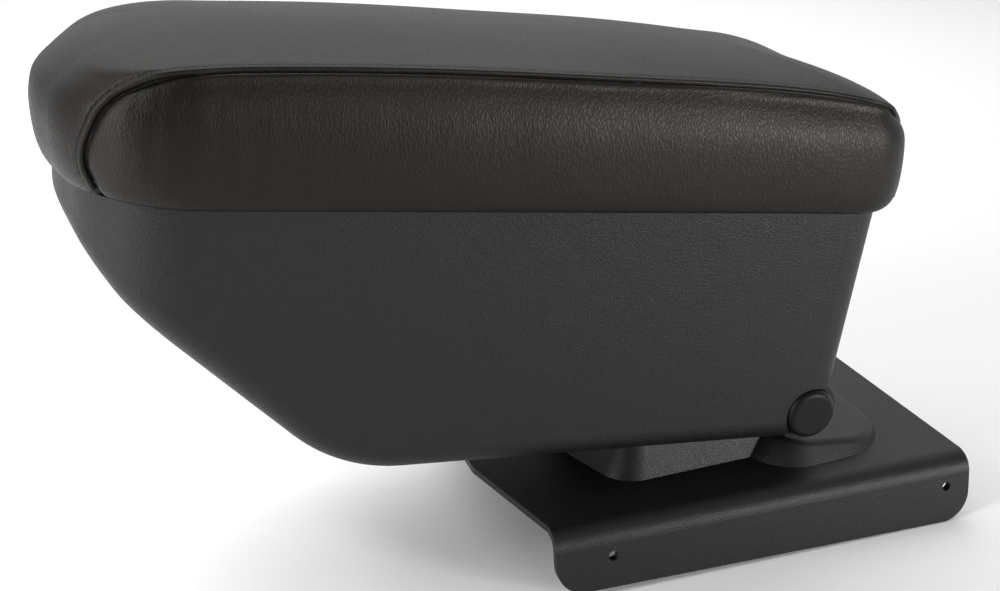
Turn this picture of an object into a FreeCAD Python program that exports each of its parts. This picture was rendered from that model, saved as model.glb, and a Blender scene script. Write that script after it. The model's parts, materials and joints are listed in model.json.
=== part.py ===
# Car armrest with a padded opening lid, a storage box that tilts on a pivot, and a screwed-on adapter plate
import FreeCAD, Part
import Sketcher
import math
import os
import re

# Shared frame: X to the rear of the car, Y to its right, Z up, in millimetres.
# The origin is on the underside of the adapter plate, on the middle plane, on the flat land ahead of the hump.
# The armrest's own frame has its origin on the pivot, and is tilted nose up by rest_tilt.

# Sizes that the drawing is driven by; one written in words follows from the others
SIZES = {
    "pivot_rear": (116.0, "pivot axis behind the origin"),
    "pivot_up": (31.0, "pivot axis above the plate's underside"),
    "rest_tilt": (6.8, "nose-up angle of the armrest at rest, degrees"),
    "sheet": (3.0, "thickness of the adapter plate"),
    "plate_front": (6.0, "front end of the flanges ahead of the origin"),
    "plate_nose": (20.0, "front edge of the plate on the middle plane"),
    "plate_nose_half": (12.0, "half width of the plate's straight front edge"),
    "plate_rear": (193.0, "rear edge of the plate behind the origin"),
    "fold_half": (76.0, "half width over the folds"),
    "fold_round": (9.0, "outer radius of the folds"),
    "flange_flare": (4.4, "outward lean of a flange over its drop"),
    "flange_drop": (30.0, "flange edge below the plate's top, rear"),
    "flange_rise": (3.5, "how much less the flange drops at the front"),
    "flange_corner": (13.0, "radius of the flange's lower corners"),
    "flange_hole": (4.2, "diameter of the flange holes"),
    "hole_middle": (100.0, "middle of a flange's two holes behind the origin"),
    "hole_pitch": (162.0, "distance between a flange's two holes"),
    "hole_below": (13.0, "flange holes below the plate's top"),
    "hump_drop": (18.4, "hump's top below the pivot"),
    "pad_front": (72.0, "front of the hump's pad ahead of the pivot"),
    "pad_point": (9.0, "how far the pad's front edge runs forward at the middle"),
    "pad_margin": (2.5, "how far the hump's pad reaches past the bracket on each side"),
    "pad_half": ("bracket_half + pad_margin", "half width of the hump's pad"),
    "pad_slope": (20.0, "slope of the pad's sides, degrees"),
    "boss_front": (6.0, "front of the hump's wide rear part ahead of the pivot"),
    "boss_rear": (54.0, "rear of the hump's wide part behind the pivot"),
    "boss_half": (55.0, "half width of the hump's wide part"),
    "boss_slope": (35.0, "slope of the wide part's sides, degrees"),
    "hump_round": (4.5, "radius along the hump's top edges"),
    "steel": (3.0, "thickness of the pivot bracket"),
    "bracket_half": (38.5, "half width over the bracket's ears"),
    "bracket_front": (52.0, "front of the bracket ahead of the pivot"),
    "bracket_rear": (8.0, "rear of the bracket behind the pivot"),
    "ear_round": (12.0, "radius of the ear about the pivot"),
    "backing": (2.0, "thickness of the backing plate"),
    "bolt_front": (42.0, "front bracket bolts ahead of the pivot"),
    "bolt_rear": (3.0, "rear bracket bolts ahead of the pivot"),
    "bolt_half": (18.0, "bracket bolts off the middle plane"),
    "box_nose": (304.6, "nose of the box ahead of the pivot"),
    "nose_lip": (11.0, "depth of the nose's upright rim under the lid"),
    "nose_brink": ("lid_up - nose_lip", "height where the nose starts to slope under"),
    "nose_rake": (21.5, "how far back the nose has come at its turn"),
    "nose_turn": (52.5, "height of the nose's turn to the long slope"),
    "nose_run": (101.1, "length of the sloping nose"),
    "belly_front": ("box_nose - nose_run", "front of the box's underside ahead of the pivot"),
    "belly": (3.3, "how much deeper the underside is there than behind the box"),
    "box_half": (66.0, "half width of the box at its rim"),
    "box_rear": (15.5, "rear wall of the box behind the pivot, at the rim"),
    "box_bottom": (13.9, "underside of the box below the pivot"),
    "box_draft": (1.6, "draft of the box walls, degrees"),
    "box_wall": (3.0, "wall of the box"),
    "box_corner": (17.0, "radius of the rear upright corners"),
    "box_edge": (12.0, "radius along the lower edges"),
    "rim_gap": (2.0, "gap between the rim and the lid"),
    "nose_corner": (43.0, "radius of the nose's sides in plan"),
    "nose_front": (88.0, "radius of the nose's front in plan"),
    "bush_flange": (1.2, "thickness of a bush's flange"),
    "side_play": (0.3, "play between a bush and the pocket's wall"),
    "pocket_half": ("bracket_half + bush_flange + side_play", "half width of the hinge pocket"),
    "pocket_round": (15.5, "reach of the hinge pocket about the pivot"),
    "cap_sunk": (0.5, "outside of a cap inside the box's half width at the rim"),
    "cap_deep": (8.0, "depth of a cap from its outside to its seat"),
    "cap_seat": ("box_half - cap_sunk - cap_deep", "cap seat off the middle plane"),
    "cap_round": (11.2, "radius of a pivot cap"),
    "cap_top": ("box_half - cap_sunk", "outside of a cap off the middle plane"),
    "pivot_bore": (8.0, "diameter of the pivot bolt"),
    "lid_ahead": (7.4, "how far the lid reaches past the box's nose"),
    "lid_behind": (11.5, "how far the lid reaches past the box's rear wall"),
    "lid_over": (4.5, "how far the lid reaches past the box's sides"),
    "lid_tip": ("box_nose + lid_ahead", "tip of the lid ahead of the pivot"),
    "lid_rear": ("box_rear + lid_behind", "rear of the lid behind the pivot"),
    "lid_half": ("box_half + lid_over", "half width of the lid"),
    "lid_up": (93.0, "underside of the lid above the pivot"),
    "lid_high": (56.0, "height of the lid on the middle plane"),
    "lid_crown": (268.0, "radius of the lid's crown across"),
    "lid_corner": (22.0, "radius of the lid's rear corners in plan"),
    "lid_edge": (7.0, "radius along the lid's upper edge"),
    "nose_slope": (40.0, "where the lid's top starts to fall, behind its tip"),
    "nose_brow": (9.0, "how far behind its tip the lid's nose turns down"),
    "nose_fall": (10.5, "how far the lid's top has fallen at that turn"),
    "rear_slope": (48.0, "where the lid's top starts to fall, ahead of its rear"),
    "rear_brow": (8.0, "how far ahead of its rear the lid turns down"),
    "rear_fall": (13.0, "how far the lid's top has fallen at that turn"),
    "lid_lean": (5.5, "how far the lid's sides lean in, in degrees"),
    "lid_foot": (0.7, "how much wider the lid's foot is before its lower edge is rounded"),
    "lid_under": (7.0, "radius along the lid's lower edge"),
    "cover": (1.4, "thickness of the cover"),
    "hem": (3.0, "how far the cover turns in under the board"),
    "pan": (4.0, "thickness of the lid's board"),
    "seam_in": (5.0, "seam in from the lid's side"),
    "seam_half": ("lid_half - seam_in", "seam off the middle plane"),
    "axle_out": (3.0, "lid hinge axis behind the leaf seat"),
    "axle_rear": ("leaf_seat + axle_out", "lid hinge axis behind the pivot"),
    "axle_below": (3.0, "lid hinge axis below the lid"),
    "knuckle": (2.6, "outer radius of the hinge knuckles"),
    "pin": (3.0, "diameter of the hinge pins"),
    "leaf": (1.5, "thickness of the hinge leaves"),
    "leaf_sunk": (0.9, "depth of the leaf recess in the rear wall"),
    "leaf_seat": ("box_rear - leaf_sunk", "leaf seat on the rear wall behind the pivot"),
    "leaf_inner": (16.0, "inner end of a hinge leaf off the middle plane"),
    "leaf_outer": (44.0, "outer end of a hinge leaf off the middle plane"),
}

doc = FreeCAD.newDocument("car_armrest")
sheet = doc.addObject("Spreadsheet::Sheet", "Size")
for row, (alias, (amount, words)) in enumerate(SIZES.items(), start=1):
    sheet.set("A%d" % row, alias)
    sheet.set("C%d" % row, words)
    sheet.setAlias("B%d" % row, alias)
for alias, (amount, words) in SIZES.items():
    sheet.set(alias, "=" + amount if isinstance(amount, str) else str(amount))
doc.recompute()


# Helpers: expressions are written with the plain size names
def bound(text):
    return re.sub(r"[a-z][a-z_]*", lambda m: "Size." + m.group(0) if m.group(0) in SIZES else m.group(0), text)


def value(text):
    return float(sheet.evalExpression(bound(text)))


def vec(x, y, z):
    return FreeCAD.Vector(x, y, z)


FACING = {
    "top": FreeCAD.Rotation(),
    "side": FreeCAD.Rotation(vec(1, 0, 0), 90),
    "end": FreeCAD.Rotation(vec(1, 1, 1), 120),
}
ALONG = {"top": vec(0, 0, 1), "side": vec(0, 1, 0), "end": vec(1, 0, 0)}
LEVEL = {"top": "z", "side": "y", "end": "x"}


def outline(name, facing, corners, level="0"):
    """A closed sketch through corners (across, up, radius or None), each bound to the sheet."""
    sketch = doc.addObject("Sketcher::SketchObject", name)
    sketch.Placement = FreeCAD.Placement(vec(0, 0, 0), FACING[facing])
    sketch.setExpression("Placement.Base." + LEVEL[facing], bound(level))
    spots = [vec(value(u), value(v), 0) for u, v, r in corners]
    count = len(spots)
    arriving, leaving, arcs = [], [], {}
    for i, (u, v, radius) in enumerate(corners):
        back = (spots[i - 1] - spots[i]).normalize()
        ahead = (spots[(i + 1) % count] - spots[i]).normalize()
        reach = 0.0
        if radius:
            half = back.getAngle(ahead) / 2
            size = value(radius)
            reach = size / math.tan(half)
            middle = spots[i] + (back + ahead).normalize() * (size / math.sin(half))
            left_hand = ahead.cross(back).z > 0
            first = spots[i] + (back if left_hand else ahead) * reach - middle
            last = spots[i] + (ahead if left_hand else back) * reach - middle
            start = math.atan2(first.y, first.x)
            stop = math.atan2(last.y, last.x)
            if stop < start:
                stop += 2 * math.pi
            arcs[i] = (Part.ArcOfCircle(Part.Circle(middle, vec(0, 0, 1), size), start, stop), left_hand)
        arriving.append(spots[i] + back * reach)
        leaving.append(spots[i] + ahead * reach)
    for i in range(count):
        sketch.addGeometry(Part.LineSegment(leaving[i], arriving[(i + 1) % count]), False)
    for i, (u, v, radius) in enumerate(corners):
        before = (i - 1) % count
        if radius:
            arc, left_hand = arcs[i]
            bend = sketch.addGeometry(arc, False)
            corner = sketch.addGeometry(Part.Point(spots[i]), True)
            sketch.addConstraint(Sketcher.Constraint("Tangent", before, 2, bend, 1 if left_hand else 2))
            sketch.addConstraint(Sketcher.Constraint("Tangent", i, 1, bend, 2 if left_hand else 1))
            tie = sketch.addConstraint(Sketcher.Constraint("Radius", bend, value(radius)))
            sketch.setExpression("Constraints[%d]" % tie, bound(radius))
            sketch.addConstraint(Sketcher.Constraint("PointOnObject", corner, 1, before))
            sketch.addConstraint(Sketcher.Constraint("PointOnObject", corner, 1, i))
        else:
            corner = i
            sketch.addConstraint(Sketcher.Constraint("Coincident", before, 2, i, 1))
        for kind, text in (("DistanceX", u), ("DistanceY", v)):
            tie = sketch.addConstraint(Sketcher.Constraint(kind, -1, 1, corner, 1, value(text)))
            sketch.setExpression("Constraints[%d]" % tie, bound(text))
    return sketch


def mirrored(corners):
    """Corners given for one side of the middle plane, closed with their mirror images."""
    other = []
    for u, v, radius in reversed(corners):
        if v != "0":
            other.append((u, "-(%s)" % v, radius))
    return corners + other


def prism(name, facing, corners, start, length, slope="0"):
    """A straight or sloping-sided solid on an outline, from start along the facing's axis."""
    solid = doc.addObject("Part::Extrusion", name)
    solid.Base = outline(name + "_outline", facing, corners, start)
    solid.DirMode = "Custom"
    solid.Dir = ALONG[facing]
    solid.Solid = True
    solid.setExpression("LengthFwd", bound(length))
    if slope != "0":
        solid.setExpression("TaperAngle", bound(slope))
    return solid


def down_prism(name, corners, top, length, slope):
    """A sloping-sided solid that hangs down from an outline."""
    solid = prism(name, "top", corners, top, length, slope)
    solid.Dir = vec(0, 0, -1)
    return solid


TURNED = {
    "x": FreeCAD.Rotation(vec(0, 1, 0), 90),
    "y": FreeCAD.Rotation(vec(1, 0, 0), -90),
    "z": FreeCAD.Rotation(),
}


def rod(name, axis, radius, length, x="0", y="0", z="0"):
    """A cylinder along an axis, from (x, y, z)."""
    solid = doc.addObject("Part::Cylinder", name)
    solid.Placement = FreeCAD.Placement(vec(0, 0, 0), TURNED[axis])
    solid.setExpression("Radius", bound(radius))
    solid.setExpression("Height", bound(length))
    for letter, text in (("x", x), ("y", y), ("z", z)):
        solid.setExpression("Placement.Base." + letter, bound(text))
    return solid


def cone(name, low, high, length, x, y, z):
    """An upright cone with its low end at (x, y, z)."""
    solid = doc.addObject("Part::Cone", name)
    solid.setExpression("Radius1", bound(low))
    solid.setExpression("Radius2", bound(high))
    solid.setExpression("Height", bound(length))
    for letter, text in (("x", x), ("y", y), ("z", z)):
        solid.setExpression("Placement.Base." + letter, bound(text))
    return solid


def block(name, x, y, z, length, width, height):
    """A box from its lowest corner."""
    solid = doc.addObject("Part::Box", name)
    for letter, text in (("x", x), ("y", y), ("z", z)):
        solid.setExpression("Placement.Base." + letter, bound(text))
    for side, text in (("Length", length), ("Width", width), ("Height", height)):
        solid.setExpression(side, bound(text))
    return solid


def hexagon(name, width, height, x, y, z, axis="z"):
    """A six-sided prism measured across its flats."""
    solid = doc.addObject("Part::Prism", name)
    solid.Polygon = 6
    solid.Placement = FreeCAD.Placement(vec(0, 0, 0), TURNED[axis])
    solid.setExpression("Circumradius", bound("(%s) / sqrt(3)" % width))
    solid.setExpression("Height", bound(height))
    for letter, text in (("x", x), ("y", y), ("z", z)):
        solid.setExpression("Placement.Base." + letter, bound(text))
    return solid


def joined(name, pieces):
    solid = doc.addObject("Part::MultiFuse", name)
    solid.Shapes = pieces
    solid.Refine = True
    return solid


def shared(name, pieces):
    solid = doc.addObject("Part::MultiCommon", name)
    solid.Shapes = pieces
    return solid


def less(name, base, tools):
    """The base with the tools taken out of it."""
    solid = doc.addObject("Part::Cut", name)
    solid.Refine = False
    solid.Base = base
    solid.Tool = tools[0] if len(tools) == 1 else joined(name + "_tools", tools)
    return solid


def together(name, pieces):
    """Several loose pieces of one kind kept as one item."""
    group = doc.addObject("Part::Compound", name)
    group.Links = pieces
    return group


def softened(name, base, radius, wanted):
    """The base with a radius along every edge that the test accepts."""
    doc.recompute()
    size = value(radius)
    edges = [(i, size, size) for i, edge in enumerate(base.Shape.Edges, start=1) if wanted(edge)]
    solid = doc.addObject("Part::Fillet", name)
    solid.Base = base
    solid.Edges = edges
    return solid


def tilted(item):
    """Sets a finished item from the armrest's frame into the shared frame."""
    item.Placement = FreeCAD.Placement(vec(0, 0, 0), FreeCAD.Rotation(vec(0, 1, 0), value("rest_tilt")))
    item.setExpression("Placement.Base.x", bound("pivot_rear"))
    item.setExpression("Placement.Base.z", bound("pivot_up"))
    item.setExpression("Placement.Rotation.Angle", bound("rest_tilt"))
    return item


NODES = {}


def keep(item):
    NODES[item.Name] = item
    return item


# Adapter plate: a folded channel with a hump formed up in it
section = [
    ("-(fold_half + flange_flare)", "sheet - flange_drop", None),
    ("-(fold_half + flange_flare) + sheet", "sheet - flange_drop", None),
    ("-fold_half + sheet", "0", "fold_round - sheet"),
    ("fold_half - sheet", "0", "fold_round - sheet"),
    ("fold_half + flange_flare - sheet", "sheet - flange_drop", None),
    ("fold_half + flange_flare", "sheet - flange_drop", None),
    ("fold_half", "sheet", "fold_round"),
    ("-fold_half", "sheet", "fold_round"),
]
channel = prism("plate_channel", "end", section, "-plate_nose", "plate_nose + plate_rear")
plate_plan = mirrored([
    ("plate_rear", "fold_half + flange_flare + 2", None),
    ("-plate_front", "fold_half + flange_flare + 2", None),
    ("-plate_front", "fold_half - fold_round", "4"),
    ("-plate_nose", "plate_nose_half", "12"),
])
plan_trim = prism("plate_plan_trim", "top", plate_plan, "-flange_drop", "flange_drop + 10")
plate_side = [
    ("plate_rear", "sheet + 1", None),
    ("-plate_nose - 1", "sheet + 1", None),
    ("-plate_nose - 1", "-1", None),
    ("-plate_front", "-1", None),
    ("-plate_front", "sheet - flange_drop + flange_rise", "flange_corner"),
    ("plate_rear", "sheet - flange_drop", "flange_corner"),
]
side_trim = prism("plate_side_trim", "side", plate_side, "-fold_half - 10", "2 * fold_half + 20")
folded = shared("plate_folded", [channel, plan_trim, side_trim])


def hump(name, inset, drop, edge):
    """The hump's two sloping-sided parts, set into the shared frame."""
    front = down_prism(name + "_pad", mirrored([
        ("20", "pad_half - " + inset, None),
        ("-pad_front + " + inset, "pad_half - " + inset, "9"),
        ("-pad_front - pad_point + " + inset, "14", "8"),
    ]), "-hump_drop - " + drop, "40", "pad_slope")
    rear = down_prism(name + "_boss", mirrored([
        ("boss_rear - " + inset, "boss_half - " + inset, "26"),
        ("-boss_front + " + inset, "boss_half - " + inset, "16"),
    ]), "-hump_drop - " + drop, "40", "boss_slope")
    level = value("-hump_drop - " + drop)
    rounded = []
    for part in (front, rear):
        rounded.append(tilted(softened(part.Name + "_round", part, edge, lambda e: abs(
            e.BoundBox.ZMin - level) < 1e-4 and abs(e.BoundBox.ZMax - level) < 1e-4)))
    return rounded


above = block("above_seat", "-100", "-100", "0", "400", "200", "60")
hump_skin = shared("hump_skin", [joined("hump_outside", hump("hump_out", "0", "0", "hump_round")), above])
plate_solid = joined("plate_solid", [folded, hump_skin])
hollow = hump("hump_in", "1.9", "sheet", "hump_round - 2")
plate_holes = []
for label, x in (("front", "hole_middle - hole_pitch / 2"), ("back", "hole_middle + hole_pitch / 2")):
    plate_holes.append(rod("flange_hole_" + label, "y", "flange_hole / 2", "2 * fold_half + 20", x,
                           "-fold_half - 10", "sheet - hole_below"))
for label, x in (("front", "-bolt_front"), ("back", "-bolt_rear")):
    for side in (-1, 1):
        plate_holes.append(tilted(rod("hump_hole_%s_%s" % (label, "left" if side < 0 else "right"), "z", "2.7",
                                      "20", "0", "0", "0")))
        plate_holes[-1].setExpression("Placement.Base.x", None)
        plate_holes[-1].setExpression("Placement.Base.z", None)
        plate_holes[-1].setExpression("Placement.Base.x", bound(
            "pivot_rear + (%s) * cos(rest_tilt) + (-hump_drop - 10) * sin(rest_tilt)" % x))
        plate_holes[-1].setExpression("Placement.Base.y", bound("%d * bolt_half" % side))
        plate_holes[-1].setExpression("Placement.Base.z", bound(
            "pivot_up - (%s) * sin(rest_tilt) + (-hump_drop - 10) * cos(rest_tilt)" % x))
keep(less("adapter_plate", plate_solid, hollow + plate_holes))

# Pivot bracket: a folded steel channel cut to two round-topped ears
bracket_section = [
    ("-bracket_half", "ear_round", None),
    ("-bracket_half", "-hump_drop", "steel + 1.5"),
    ("bracket_half", "-hump_drop", "steel + 1.5"),
    ("bracket_half", "ear_round", None),
    ("bracket_half - steel", "ear_round", None),
    ("bracket_half - steel", "-hump_drop + steel", "1.5"),
    ("-bracket_half + steel", "-hump_drop + steel", "1.5"),
    ("-bracket_half + steel", "ear_round", None),
]
bracket_bar = prism("bracket_bar", "end", bracket_section, "-bracket_front", "bracket_front + ear_round + 2")
bracket_side = [
    ("-bracket_front", "-hump_drop", None),
    ("bracket_rear", "-hump_drop", None),
    ("ear_round", "ear_round", "ear_round - 0.5"),
    ("-ear_round", "ear_round", "ear_round - 0.5"),
    ("-2 * ear_round", "-hump_drop + steel", None),
    ("-bracket_front", "-hump_drop + steel", None),
]
ear_trim = prism("bracket_side_trim", "side", bracket_side, "-bracket_half - 1", "2 * bracket_half + 2")
bracket_cuts = [rod("bracket_bore", "y", "pivot_bore / 2 + 1", "2 * bracket_half + 2", "0", "-bracket_half - 1")]
bolts, washers, nuts, backing_cuts = [], [], [], []
for label, x in (("front", "-bolt_front"), ("back", "-bolt_rear")):
    for hand, y in (("left", "-bolt_half"), ("right", "bolt_half")):
        tag = "_%s_%s" % (label, hand)
        bracket_cuts.append(cone("sink" + tag, "2.5", "5.1", "2.6", x, y, "-hump_drop + steel - 2.6"))
        bracket_cuts.append(rod("sink_hole" + tag, "z", "2.5", "steel + 2", x, y, "-hump_drop - 1"))
        head = cone("bolt_head" + tag, "2.5", "5", "2.5", x, y, "-hump_drop + steel - 2.6")
        shank = rod("bolt_shank" + tag, "z", "2.5", "steel + sheet + backing + 6 - 2.6 + 0.2", x, y,
                    "-hump_drop - sheet - backing - 6")
        bolts.append(joined("bolt" + tag, [head, shank]))
        backing_cuts.append(rod("backing_hole" + tag, "z", "2.7", "10", x, y, "-hump_drop - 10"))
        washers.append(less("washer" + tag, rod("washer_disc" + tag, "z", "5", "1", x, y,
                                                "-hump_drop - sheet - backing - 1"),
                            [rod("washer_hole" + tag, "z", "2.5", "4", x, y, "-hump_drop - sheet - backing - 2")]))
        nuts.append(less("nut" + tag, hexagon("nut_hexagon" + tag, "8", "4", x, y,
                                              "-hump_drop - sheet - backing - 5"),
                         [rod("nut_hole" + tag, "z", "2.5", "9", x, y, "-hump_drop - sheet - backing - 7")]))
keep(tilted(less("pivot_bracket", shared("bracket_blank", [bracket_bar, ear_trim]), bracket_cuts)))
backing_blank = prism("backing_blank", "top", mirrored([
    ("4", "26", "4"),
    ("-50", "26", "4"),
]), "-hump_drop - sheet - backing", "backing")
keep(tilted(less("backing_plate", backing_blank, backing_cuts)))
keep(tilted(together("bracket_bolts", bolts)))
keep(tilted(together("bracket_washers", washers)))
keep(tilted(together("bracket_nuts", nuts)))

# Flanged plain bushes in the ears
for hand, side in (("left", -1), ("right", 1)):
    outer = "-bracket_half - bush_flange" if side < 0 else "bracket_half"
    inner = "-bracket_half" if side < 0 else "bracket_half - steel"
    flange = rod("bush_rim_" + hand, "y", "7.5", "bush_flange", "0", outer)
    sleeve = rod("bush_sleeve_" + hand, "y", "pivot_bore / 2 + 1", "steel", "0", inner)
    bore = rod("bush_bore_" + hand, "y", "pivot_bore / 2 + 0.05", "2 * bracket_half + 20", "0", "-bracket_half - 10")
    keep(tilted(less("ear_bush_" + hand, joined("bush_blank_" + hand, [flange, sleeve]), [bore])))

# Rubber pads that the box comes to rest on
underside = "(box_bottom + belly * (box_rear + 20 + pad_front - 4) / (box_rear + 20 + belly_front))"
rests = []
for hand, y in (("left", "-34"), ("right", "14")):
    rests.append(block("rest_" + hand, "-pad_front + 4", y, "-hump_drop", "13", "20",
                       "hump_drop - 0.3 - " + underside))
keep(tilted(together("rest_pads", rests)))


# Storage box: a drafted plan cut to a sloping nose, hollowed by the same shape one wall smaller
def box_form(name, inset, top, edge):
    """The box's drafted block, cut to its side profile and rounded along the lower edges."""
    reach = "(box_nose - %s)" % inset
    wide = "(box_half - %s)" % inset
    plan = mirrored([
        ("box_rear - " + inset, wide, "box_corner - " + inset),
        ("-%s + 14" % reach, wide, "nose_corner - " + inset),
        ("-%s - 3.4" % reach, "0", "nose_front - " + inset),
    ])
    drafted = down_prism(name + "_block", plan, top, "150", "-box_draft")
    profile = [
        ("box_rear + 20", "%s + 10" % top, None),
        ("-box_nose - 20", "%s + 10" % top, None),
        ("-box_nose - 20", "nose_brink", None),
        ("-box_nose - 3 + " + inset, "nose_brink", "14"),
        ("-box_nose + nose_rake + " + inset, "nose_turn", "60"),
        ("-belly_front + " + inset, "-box_bottom - belly + " + inset, "64"),
        ("box_rear + 20", "-box_bottom + " + inset, None),
    ]
    profiled = prism(name + "_profile", "side", profile, "-100", "200")
    blank = shared(name + "_blank", [drafted, profiled])
    low = value("nose_brink")

    def lower(e):
        middle = e.BoundBox.Center
        wide_run = abs(middle.y) > 3 or e.BoundBox.YLength > 40
        sideways = e.Curve.TypeId == "Part::GeomLine" and abs(e.tangentAt(e.FirstParameter).y) > 0.99
        return e.BoundBox.ZMax < low and wide_run and not (sideways and middle.x < 0)

    return softened(name, blank, edge, lower) if edge else blank


box_outside = box_form("box_outside", "0", "lid_up - rim_gap", "box_edge")
box_inside = box_form("box_inside", "box_wall", "lid_up - rim_gap + 1", "box_edge - box_wall")
pocket = [
    ("-2.5 * ear_round", "-box_bottom - 20", None),
    ("-pocket_round - 1", "pocket_round", "pocket_round - 1.5"),
    ("60", "pocket_round", None),
    ("60", "-box_bottom - 20", None),
]
pocket_skin = [
    ("-2.5 * ear_round - box_wall", "-box_bottom - 20", None),
    ("-pocket_round - 1 - box_wall", "pocket_round + box_wall", "pocket_round + box_wall - 1.5"),
    ("60", "pocket_round + box_wall", None),
    ("60", "-box_bottom - 20", None),
]
pocket_wall = prism("pocket_wall", "side", pocket_skin, "-pocket_half - box_wall", "2 * (pocket_half + box_wall)")
pocket_room = prism("pocket_room", "side", pocket, "-pocket_half", "2 * pocket_half")
box_extras = [less("box_shell", box_outside, [box_inside]), shared("pocket_in_box", [pocket_wall, box_outside])]
pivot_cuts = [pocket_room, rod("axle_bore", "y", "pivot_bore / 2 + 0.1", "200", "0", "-100")]
box_cuts = []
for hand, side in (("left", -1), ("right", 1)):
    cup_from = "-cap_seat - 2.5" if side < 0 else "cap_seat - box_wall"
    box_extras.append(rod("cap_cup_" + hand, "y", "cap_round + 2.6", "box_wall + 2.5", "0", cup_from))
    room_from = "-cap_seat - 30" if side < 0 else "cap_seat"
    pivot_cuts.append(rod("cap_room_" + hand, "y", "cap_round + 0.5", "30", "0", room_from))
    inner = "-leaf_outer - 0.3" if side < 0 else "leaf_inner - 0.3"
    box_cuts.append(block("leaf_recess_" + hand, "leaf_seat", inner, "lid_up - 30.3", "10",
                          "leaf_outer - leaf_inner + 0.6", "40"))

# Lid hinges: two butt hinges with their screws and pins
lid_screws, box_screws, pins = [], [], []
third = "(leaf_outer - leaf_inner) / 3"
for hand, side in (("left", -1), ("right", 1)):
    near = "-leaf_outer" if side < 0 else "leaf_inner"
    width = "leaf_outer - leaf_inner"
    mid = near + " + " + third
    axle = ("axle_rear", "lid_up - axle_below")
    plate = block("box_leaf_plate_" + hand, "leaf_seat", near, "lid_up - 30", "leaf", width, "23.4")
    tongue = block("box_leaf_tongue_" + hand, "leaf_seat", mid + " + 0.2", "lid_up - 10", "leaf", third + " - 0.4",
                   "10 - axle_below")
    roll = rod("box_leaf_roll_" + hand, "y", "knuckle", third + " - 0.4", axle[0], mid + " + 0.2", axle[1])
    cuts = [rod("box_leaf_bore_" + hand, "y", "pin / 2 + 0.05", width + " + 10", axle[0], near + " - 5", axle[1])]
    for label, y in (("inner", near + " + 6"), ("outer", near + " + %s - 6" % width)):
        tag = "_%s_%s" % (hand, label)
        cuts.append(rod("box_leaf_hole" + tag, "x", "1.6", "6", "leaf_seat - 2", y, "lid_up - 19"))
        box_cuts.append(rod("box_pilot" + tag, "x", "1.6", "20", "leaf_seat - 12", y, "lid_up - 19"))
        head = rod("box_screw_head" + tag, "x", "2.8", "1.4", "leaf_seat + leaf", y, "lid_up - 19")
        shank = rod("box_screw_shank" + tag, "x", "1.6", "leaf + 5.1", "leaf_seat - 5", y, "lid_up - 19")
        box_screws.append(joined("box_screw" + tag, [head, shank]))
    keep(tilted(less("box_leaf_" + hand, joined("box_leaf_blank_" + hand, [plate, tongue, roll]), cuts)))
    plate = block("lid_leaf_plate_" + hand, "axle_rear - 26", near, "lid_up - leaf", "26", width, "leaf")
    notch = block("lid_leaf_notch_" + hand, "axle_rear - 4", mid + " - 0.2", "lid_up - 10", "10", third + " + 0.4",
                  "20")
    rolls = [
        rod("lid_leaf_roll_near_" + hand, "y", "knuckle", third + " - 0.2", axle[0], near, axle[1]),
        rod("lid_leaf_roll_far_" + hand, "y", "knuckle", third + " - 0.2", axle[0],
            near + " + 2 * %s + 0.2" % third, axle[1]),
    ]
    cuts = [rod("lid_leaf_bore_" + hand, "y", "pin / 2", width + " + 10", axle[0], near + " - 5", axle[1]), notch]
    for label, y in (("inner", near + " + 6"), ("outer", near + " + %s - 6" % width)):
        tag = "_%s_%s" % (hand, label)
        cuts.append(rod("lid_leaf_hole" + tag, "z", "1.6", "6", "axle_rear - 20", y, "lid_up - 4"))
        head = rod("lid_screw_head" + tag, "z", "2.8", "1.4", "axle_rear - 20", y, "lid_up - leaf - 1.4")
        shank = rod("lid_screw_shank" + tag, "z", "1.6", "leaf + 3", "axle_rear - 20", y, "lid_up - leaf - 0.1")
        lid_screws.append(joined("lid_screw" + tag, [head, shank]))
    keep(tilted(less("lid_leaf_" + hand, joined("lid_leaf_blank_" + hand, [plate] + rolls), cuts)))
    pins.append(rod("hinge_pin_" + hand, "y", "pin / 2", width, axle[0], near, axle[1]))
keep(tilted(together("hinge_pins", pins)))
keep(tilted(together("box_hinge_screws", box_screws)))
keep(tilted(together("lid_hinge_screws", lid_screws)))
box_open = joined("box_built", box_extras)
for tool in pivot_cuts:
    box_open = less("box_without_" + tool.Name, box_open, [tool])
keep(tilted(less("storage_box", box_open, box_cuts)))

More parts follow.
